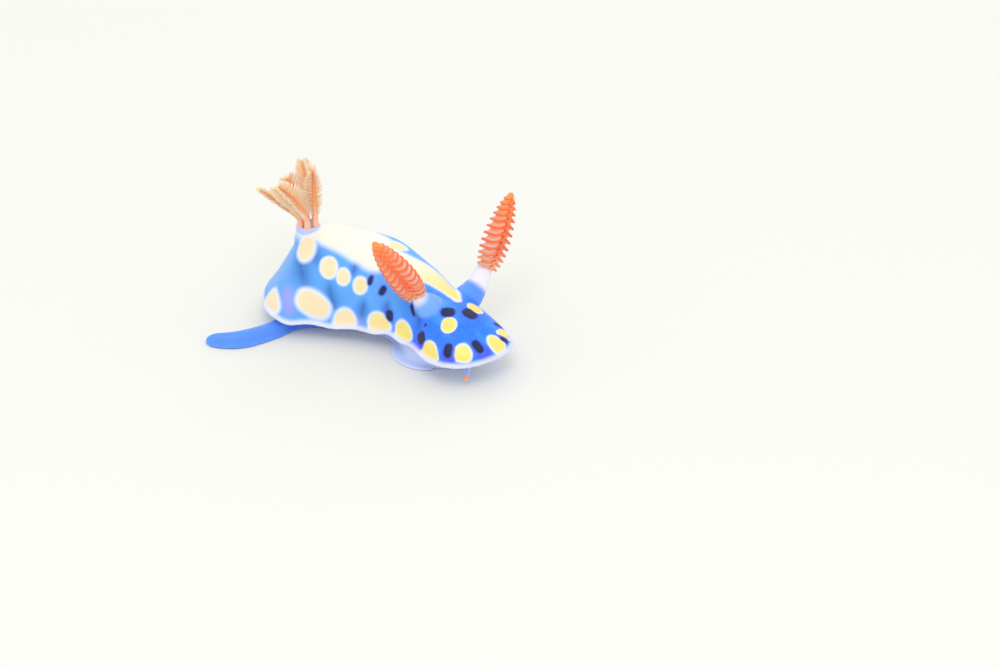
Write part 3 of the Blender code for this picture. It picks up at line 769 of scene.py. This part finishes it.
def paintSkin(form):
    # distances in mm and shares from 0 to 1 that the skin's material reads
    points = [vert.co / metresPerMm for vert in form.data.vertices]
    places = np.array(points)
    along, across = np.array([bodyPlace(point) for point in points]).T
    shares = partShares(points)
    rimGap = rimDistance(points)
    rimRight, rimLeft = (np.interp(along, mantleAlong, np.abs(rim)) for rim in rimAcross)
    under = np.abs(across) - np.where(across < 0, rimRight, rimLeft)
    fields = {"rimGap": rimGap, "underGap": under, "along": along}
    for name, parts in skin["shares"].items():
        fields[name] = sum(weight * shares[part] for part, weight in parts.items())
    fields["sheathShare"] *= fade(places[:, 2] - gillCentre.z, *skin["sheathFade"])
    away = sum(fields[name] for name in ("footShare", "snoutShare", "oralShare", "sheathShare"))
    # no mark lies under the rim or on the parts that grow from the mantle
    bare = np.maximum(3 * under, 5 * (away - 0.35))
    size, strength = marks["noiseSize"], marks["outlineNoise"]
    shaken = np.array([point + noise.noise_vector(point / size) * strength for point in points])
    far = np.full(len(points), 9.0)
    gaps = dict.fromkeys(("yellow", "white", "dark", "violet", "teal", "lilac"), far)
    for kind, core, halo, squareness, taper in markKinds:
        for *shape, width in marks[kind]:
            gap = markGap(shaken, *shape, squareness, taper)
            gaps[halo] = np.minimum(gaps[halo], gap / width)
            if core:
                gaps[core] = np.minimum(gaps[core], gap)
    stripe = np.maximum(stripeGap(along, across, marks["stripe"]), 3 * (fields["stalkShare"] - 0.4))
    gaps["white"] = np.minimum(gaps["white"], stripe / np.interp(along, *zip(*marks["stripeHalo"])))
    gaps["yellow"] = np.maximum(np.minimum(gaps["yellow"], stripe), marks["rimInset"] - rimGap)
    for name, gap in gaps.items():
        fields[f"{name}Gap"] = np.maximum(gap, bare)
    onStripe = fade(-np.maximum(stripe, bare), -0.15, 0.15)
    fields["creamStripe"] = onStripe * fade(along, *marks["creamFade"])
    fields["rearYellow"] = fade(-fields["yellowGap"], -0.1, 0.1) * fade(along, *marks["rearFade"])
    fields["stalkWhite"] = fields["oralTip"] = 0.0
    for which in sideSign:
        root, _, top = stalkLine(which)
        rise = (places - np.array(root)) @ np.array((top - root).normalized())
        fields["stalkWhite"] += shares[f"stalk{which.title()}"] * fade(rise, *skin["stalkWhite"][which])
        root, axis, length = oralAxis(which)
        rise = (places - np.array(root)) @ np.array(axis) / length
        fields["oralTip"] += shares[f"oral{which.title()}"] * fade(rise, *skin["orangeTip"])
    footLine = np.array([smoothRow(foot["stations"], k / 200)[:2] for k in range(201)])
    nearest = np.argmin(((places[:, None, :2] - footLine) ** 2).sum(axis=2), axis=1)
    footAlong = np.interp(nearest / 200, np.linspace(0, 1, len(footLengths)), footLengths)
    fields["tailShare"] = fields["footShare"] * fade(footAlong, *skin["tailFade"])
    for name, values in fields.items():
        keep(form, name, values)


paintSkin(body)
print("skin: marks laid out")


def linear(hexColour):
    channels = [int(hexColour[i : i + 2], 16) / 255 for i in (0, 2, 4)]
    return tuple(c / 12.92 if c <= 0.04045 else ((c + 0.055) / 1.055) ** 2.4 for c in channels) + (1.0,)


def addNode(tree, kind, settings=None, inputs=None):
    made = tree.nodes.new(kind)
    for key, value in (settings or {}).items():
        setattr(made, key, value)
    for key, value in (inputs or {}).items():
        if isinstance(value, bpy.types.NodeSocket):
            tree.links.new(value, made.inputs[key])
        else:
            made.inputs[key].default_value = value
    return made


def newMaterial(name):
    made = bpy.data.materials.new(name)
    made.use_nodes = True
    tree = made.node_tree
    shader = tree.nodes["Principled BSDF"]
    where = addNode(tree, "ShaderNodeTexCoord")
    sizing = {"Vector": where.outputs["Object"], "Scale": (1 / metresPerMm,) * 3}
    inMm = addNode(tree, "ShaderNodeMapping", None, sizing)
    return made, tree, shader, inMm.outputs["Vector"]


def layColour(tree, colour, value, missing, full, hexColour, strength):
    # one colour over another, growing as the value passes from missing to full
    span = {"Value": value, "From Min": missing, "From Max": full, "To Max": strength}
    share = addNode(tree, "ShaderNodeMapRange", {"interpolation_type": "SMOOTHSTEP"}, span)
    mixing = {0: share.outputs["Result"], 6: colour, 7: linear(hexColour)}
    return addNode(tree, "ShaderNodeMix", {"data_type": "RGBA"}, mixing).outputs[2]


def layColours(tree, colour, layers):
    for attribute, *layer in layers:
        read = addNode(tree, "ShaderNodeAttribute", {"attribute_name": attribute})
        colour = layColour(tree, colour, read.outputs["Fac"], *layer)
    return colour


def moistFlesh(tree, shader, inMm, bumpSize, bumpHeight, depth=0.15, share=0.3):
    # soft wet flesh: light enters a little, and a thin film of slime shines on fine wrinkles
    grain = {"Vector": inMm, "Scale": 1 / bumpSize, "Detail": 3.0}
    wrinkles = addNode(tree, "ShaderNodeTexNoise", None, grain)
    relief = {"Height": wrinkles.outputs["Fac"], "Distance": bumpHeight * metresPerMm}
    bump = addNode(tree, "ShaderNodeBump", None, relief)
    tree.links.new(bump.outputs["Normal"], shader.inputs["Normal"])
    shader.inputs["Roughness"].default_value = 0.42
    shader.inputs["IOR"].default_value = 1.38
    shader.inputs["Subsurface Weight"].default_value = share
    shader.inputs["Subsurface Radius"].default_value = (0.9, 0.9, 1.0)
    shader.inputs["Subsurface Scale"].default_value = depth * metresPerMm
    shader.inputs["Coat Weight"].default_value = 0.25
    shader.inputs["Coat Roughness"].default_value = 0.2
    shader.inputs["Coat IOR"].default_value = 1.34


def skinMaterial():
    # bright blue skin, clouded with deeper and paler blue, with painted marks
    made, tree, shader, inMm = newMaterial("sea slug skin")
    colour = linear(skin["blue"])
    for scale, *layer in skin["clouds"]:
        cloud = addNode(tree, "ShaderNodeTexNoise", None, {"Vector": inMm, "Scale": scale, "Detail": 2.0})
        colour = layColour(tree, colour, cloud.outputs["Fac"], *layer)
    colour = layColours(tree, colour, skin["layers"])
    tree.links.new(colour, shader.inputs["Base Color"])
    moistFlesh(tree, shader, inMm, bumpSize=0.16, bumpHeight=0.012)
    return made


body.data.materials.clear()
body.data.materials.append(skinMaterial())
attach(body, "root")
fleshNodes = [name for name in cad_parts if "plume" not in name and "club" not in name]
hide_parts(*fleshNodes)

club = {
    "plates": 12,  # on each side
    "lowest": 0.065,
    "highest": 0.945,
    "crowding": 0.175,  # of the plates towards both ends
    "droop": 0.24,
    "rim": 0.095,
    "root": 0.14,
    "core": 0.66,
    "ridgeOut": 0.8,
    "ridgeRadius": 0.12,
    "zigzag": 0.09,
    "shift": 0.5,  # of one side's plates against the other's, in gaps between plates
    # radius in mm and share of the length
    "tip": [(0.24, 0.955), (0.2, 0.975), (0.12, 0.995), (0.0, 1.0)],
    # share of the ridge's radius and of the length
    "ridge": [(0.0, 0.03), (0.8, 0.04), (1.0, 0.3), (0.9, 0.8), (0.8, 0.93), (0.0, 0.95)],
    "rimColour": "FF7446",
    "paleColour": "FFC294",
    "whiteColour": "FFF2EA",
    "innerColour": "FFA074",
    "baseColour": "FFBE90",
    "tipColour": "FF974C",
}


def ease(value):
    value = min(max(value, 0.0), 1.0)
    return value * value * (3 - 2 * value)


def clubRadius(t):
    full = math.sin(math.pi * t**0.8) ** 0.5 if 0 < t < 1 else 0.0
    return rhinophore["clubRadius"] * max(0.2 + 0.8 * full - 0.12 * t, 0.12)


def plateSection(turn):
    # one cut through a plate of outer radius 1, from the ridge on its face (0) round to its back
    swell = ease(math.degrees(turn) / 55) * (0.55 + 0.45 * ease((180 - math.degrees(turn)) / 45))
    outer = club["ridgeOut"] + (1 - club["ridgeOut"]) * swell
    inner = 0.6 * club["core"]
    line = []
    for k in range(6):
        u = k / 5
        half = club["root"] * (1 - u) + 0.5 * club["rim"] * u
        line.append((inner + (outer - club["rim"] - inner) * u, -club["droop"] * swell * u**1.5, half))
    upper = [(r, z + half) for r, z, half in line]
    lower = [(r, z - half) for r, z, half in line]
    edge = (outer - club["rim"], -club["droop"] * swell)
    rim = []
    for k in range(1, 6):
        angle = math.pi * (0.5 - k / 6)
        rim.append((edge[0] + club["rim"] * math.cos(angle), edge[1] + club["rim"] * math.sin(angle)))
    return [Vector((r * math.cos(turn), r * math.sin(turn), z)) for r, z in upper + rim + lower[::-1]]


def rimPoint(turn):
    return max(plateSection(turn), key=lambda p: math.hypot(p.x, p.y))


def spread(master, matrices):
    copies = []
    for matrix in matrices:
        copy = master.copy()
        copy.data = master.data.copy()
        copy.data.transform(matrix)
        if matrix.determinant() < 0:
            copy.data.flip_normals()
        bpy.context.collection.objects.link(copy)
        copies.append(copy)
    return copies


def plateMatrices():
    length = rhinophore["clubLength"]
    matrices = []
    for side in (1, -1):
        for k in range(club["plates"]):
            u = (k + (club["shift"] if side < 0 else 0.0)) / (club["plates"] - 1 + club["shift"])
            u -= club["crowding"] * math.sin(2 * math.pi * u) / (2 * math.pi)
            t = club["lowest"] + (club["highest"] - club["lowest"]) * u
            radius = clubRadius(t)
            slim = 0.6 + 0.4 * radius / rhinophore["clubRadius"]
            size = Matrix.Diagonal((radius, side * radius, slim, 1.0))
            matrices.append(Matrix.Translation((0.0, 0.0, t * length)) @ size)
    return matrices


def makeClub():
    length = rhinophore["clubLength"]
    plate = shapedBall("plate", 17, 30, plateSection, math.pi)[0]
    matrices = plateMatrices()
    pieces = spread(plate, matrices)
    bpy.data.objects.remove(plate)
    core = [(0.0, 0.0)] + [(max(clubRadius(k / 40) * club["core"], 0.13), k / 40 * length) for k in range(38)]
    core += [(radius, share * length) for radius, share in club["tip"]]
    pieces.append(turnedBall("core", 24, 60, core, lambda height: Matrix.Translation((0.0, 0.0, height))))
    pitch = (club["highest"] - club["lowest"]) * length / (club["plates"] - 1 + club["shift"])

    def ridgePlace(height):
        out = (club["ridgeOut"] - 0.02) * clubRadius(height / length)
        swing = math.cos(2 * math.pi * (height - club["lowest"] * length) / pitch)
        return Matrix.Translation((out, club["zigzag"] * swing, height))

    thickness = club["ridgeRadius"]
    ridge = [(share * thickness, rise * length) for share, rise in club["ridge"]]
    pieces.append(turnedBall("ridge", 12, 120, ridge, ridgePlace))
    whole = joinPieces(pieces, "club")
    lines = KDTree(len(matrices) * 61)
    for matrix in matrices:
        for k in range(61):
            lines.insert(matrix @ rimPoint(math.pi * k / 60), 0)
    lines.balance()
    spots = [vert.co.copy() for vert in whole.data.vertices]
    rises = [spot.z / length for spot in spots]
    radii = [clubRadius(min(max(rise, 0.0), 1.0)) for rise in rises]
    ridgeSpots = [ridgePlace(min(max(rise, 0.02), 0.95) * length).translation for rise in rises]
    keep(whole, "rimGap", [lines.find(spot)[2] for spot in spots])
    keep(whole, "rise", rises)
    keep(whole, "out", [math.hypot(spot.x, spot.y) / radius for spot, radius in zip(spots, radii)])
    keep(whole, "ridgeGap", [(spot - near).length - thickness for spot, near in zip(spots, ridgeSpots)])
    return whole


def clubMaterial():
    # thin moist plates: pale peach faces, saturated orange red along every rim and on the ridge
    made, tree, shader, inMm = newMaterial("ringed feeler")
    colour = layColours(tree, linear(club["paleColour"]), [
        ("rise", 0.6, 0.15, club["whiteColour"], 0.75),
        ("out", 0.74, 0.6, club["innerColour"], 0.5),
        ("rimGap", 0.22, 0.09, club["rimColour"], 1.0),
        ("ridgeGap", 0.12, 0.0, club["rimColour"], 1.0),
        ("rise", 0.3, 0.03, club["baseColour"], 0.7),
        ("rise", 0.55, 0.8, club["tipColour"], 0.45),
        ("rise", 0.86, 0.96, club["tipColour"], 1.0),
    ])
    tree.links.new(colour, shader.inputs["Base Color"])
    moistFlesh(tree, shader, inMm, bumpSize=0.1, bumpHeight=0.004, depth=0.1, share=0.15)
    return made


clubMaster = makeClub()
clubMaster.data.materials.append(clubMaterial())
for which in sideSign:
    axis = clubAxis(which)
    base = stalkLine(which)[2] + axis * rhinophore["clubGap"]
    place = frameFrom(base, axis, rhinophore["clubFace"][which])
    place @= Matrix.Diagonal((1, 1, rhinophore["clubStretch"][which], 1))
    piece = spread(clubMaster, [Matrix.Scale(metresPerMm, 4) @ place])[0]
    piece.name = f"club{which.title()}"
    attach(piece, "root")
    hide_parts(f"rhinophore_{which}_club")
bpy.data.objects.remove(clubMaster)
print("clubs: made")

plume = {
    "ring": 0.58,
    "rise": 0.92,
    "sink": 0.62,
    "lean": Vector((-0.36, 0.27, 0.0)),
    # degrees round the sheath from the animal's right, length in mm, spread for each mm of length
    "plumes": [(-5, 3.1, 0.50), (52, 4.1, 0.44), (118, 4.9, 0.48), (182, 4.2, 0.34), (246, 2.5, 0.44)],
    "rootRadius": 0.22,
    "tipRadius": 0.05,
    "leaves": 24,  # on each side
    "lowest": 0.05,
    "highest": 0.97,
    "leafLength": 1.3,
    "keelLength": 1.05,
    "leafWidth": 0.3,
    "leafThickness": 0.09,
    "wander": 0.12,
    "colour": "FFDFB4",
    "stemColour": "FFB478",
    "footColour": "FFC9B0",
    "tipColour": "FFF2E2",
}


def outwardAt(angle):
    turn = math.radians(angle)
    return Vector((-math.cos(turn), -math.sin(turn), 0.0))


def plumePoint(angle, length, spreading, t):
    # a place on a plume's stem, t from 0 at its foot to 1 at its tip
    outward = outwardAt(angle)
    root = gillCentre + outward * plume["ring"] + Vector((0.0, 0.0, plume["rise"]))
    bend = (outward * spreading + plume["lean"]) * max(t, 0.0) ** 1.2
    return root + (bend + Vector((0.0, 0.0, t * (1 - 0.1 * t)))) * length


def leafSection(u):
    # a small pointed blade of length 1 along X
    width = 0.5 * plume["leafWidth"] * (0.5 + 0.5 * u) * math.sqrt(max(1 - u**3, 0.0)) + 0.01
    thick = 0.5 * plume["leafThickness"] * (1 - 0.6 * u) + 0.003
    turns = [2 * math.pi * k / 8 for k in range(8)]
    return [Vector((u, width * math.cos(t), thick * math.sin(t) + 0.12 * u * u)) for t in turns]


leaf = shapedBall("leaf", 8, 6, leafSection, 1.0)[0]
keep(leaf, "leafReach", [vert.co.x for vert in leaf.data.vertices])


def makePlume(number, angle, length, spreading):
    outward = outwardAt(angle)
    low, high = plume["rootRadius"], plume["tipRadius"]

    def onStem(t):
        here = plumePoint(angle, length, spreading, t)
        return here, (plumePoint(angle, length, spreading, t + 0.02) - here).normalized()

    sink = plume["sink"] / length
    profile = [(0.0, -sink), (low, -sink)]
    profile += [(low + (high - low) * (k / 20) ** 0.8, k / 20) for k in range(20)] + [(0.0, 1.0)]
    pieces = [turnedBall("stem", 12, 40, profile, lambda t: frameFrom(*onStem(t), outward))]
    keep(pieces[0], "leafReach", [0.0] * len(pieces[0].data.vertices))
    matrices = []
    for k in range(plume["leaves"]):
        for side in (-1, 0, 1):
            shift = 0.5 * side
            t = plume["lowest"] + (plume["highest"] - plume["lowest"]) * (k + 0.5 + shift) / plume["leaves"]
            here, ahead = onStem(t)
            across = ahead.cross(outward).normalized() * side
            wander = noise.noise_vector(Vector((number * 3.1, k * 0.9, side * 5.0))) * plume["wander"]
            lie = (across * 0.75 + ahead * 0.6 - outward * 0.25 + wander).normalized()
            if side == 0:
                lie = (outward * 0.8 + ahead * 0.6 + wander).normalized()
            swell = 0.3 + 0.7 * math.sin(math.pi * min(t, 0.999) ** 0.9) ** 0.8
            reach = (plume["leafLength"] if side else plume["keelLength"]) * swell
            up = (ahead - lie * ahead.dot(lie)).normalized()
            blade = Matrix((lie * reach, up.cross(lie), up)).transposed().to_4x4()
            blade.translation = here
            matrices.append(blade)
    pieces += spread(leaf, matrices)
    whole = joinPieces(pieces, f"gillPlume{number}")
    root = plumePoint(angle, length, spreading, 0.0)
    keep(whole, "rise", [(vert.co - root).length / length for vert in whole.data.vertices])
    whole.data.transform(Matrix.Scale(metresPerMm, 4))
    return whole


def plumeMaterial():
    # feathery orange gill flesh, darker along the stem, pale at the leaf tips
    made, tree, shader, inMm = newMaterial("gill flesh")
    colour = layColours(tree, linear(plume["stemColour"]), [
        ("leafReach", 0.0, 0.45, plume["colour"], 1.0),
        ("leafReach", 0.45, 1.0, plume["tipColour"], 0.7),
        ("rise", 0.35, 0.0, plume["footColour"], 0.7),
    ])
    tree.links.new(colour, shader.inputs["Base Color"])
    moistFlesh(tree, shader, inMm, bumpSize=0.1, bumpHeight=0.004, depth=0.1, share=0.0)
    return made


gillPaint = plumeMaterial()
for number, (angle, length, spreading) in enumerate(plume["plumes"], 1):
    piece = makePlume(number, angle, length, spreading)
    piece.data.materials.clear()
    piece.data.materials.append(gillPaint)
    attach(piece, "root")
    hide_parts(f"gill_plume_{number}")
bpy.data.objects.remove(leaf)
print("gill: made")


def addCamera():
    elevation, turn = math.radians(camera["elevation"]), math.radians(camera["turn"])
    right = Vector((math.cos(turn), -math.sin(turn), 0.0))
    level = math.cos(elevation)
    ahead = Vector((math.sin(turn) * level, math.cos(turn) * level, -math.sin(elevation)))
    up = right.cross(ahead)
    aim = Vector(camera["aimFrom"]) + right * camera["aimRight"] + up * camera["aimUp"]
    bpy.ops.object.camera_add(location=(aim - ahead * camera["distance"]) * metresPerMm)
    made = bpy.context.object
    made.rotation_euler = Matrix((right, up, -ahead)).transposed().to_euler()
    made.data.sensor_width = camera["sensor"]
    made.data.lens = camera["sensor"] * camera["distance"] / camera["pictureWidth"]
    made.data.clip_start = 0.01
    bpy.context.scene.camera = made


def addStage():
    bpy.ops.mesh.primitive_plane_add(size=1.2)
    floor = bpy.context.object
    floor.name = "floor"
    # pale matt board that the model stands on
    paint = bpy.data.materials.new("matt board")
    paint.use_nodes = True
    shader = paint.node_tree.nodes["Principled BSDF"]
    shader.inputs["Base Color"].default_value = linear(light["floorColour"])
    shader.inputs["Roughness"].default_value = 0.9
    floor.data.materials.append(paint)
    world = bpy.data.worlds.new("studio")
    world.use_nodes = True
    sky = world.node_tree.nodes["Background"]
    sky.inputs["Color"].default_value = linear(light["worldColour"])
    sky.inputs["Strength"].default_value = light["worldStrength"]
    bpy.context.scene.world = world
    for name in ("key", "rim"):
        place = Vector(light[f"{name}Place"])
        bpy.ops.object.light_add(type="AREA", location=place)
        lamp = bpy.context.object
        lamp.name = name
        lamp.data.energy = light[f"{name}Power"]
        lamp.data.size = light["lampSize"]
        lamp.rotation_euler = place.to_track_quat("Z", "Y").to_euler()
    bpy.context.scene.view_settings.view_transform = "Standard"


addCamera()
addStage()
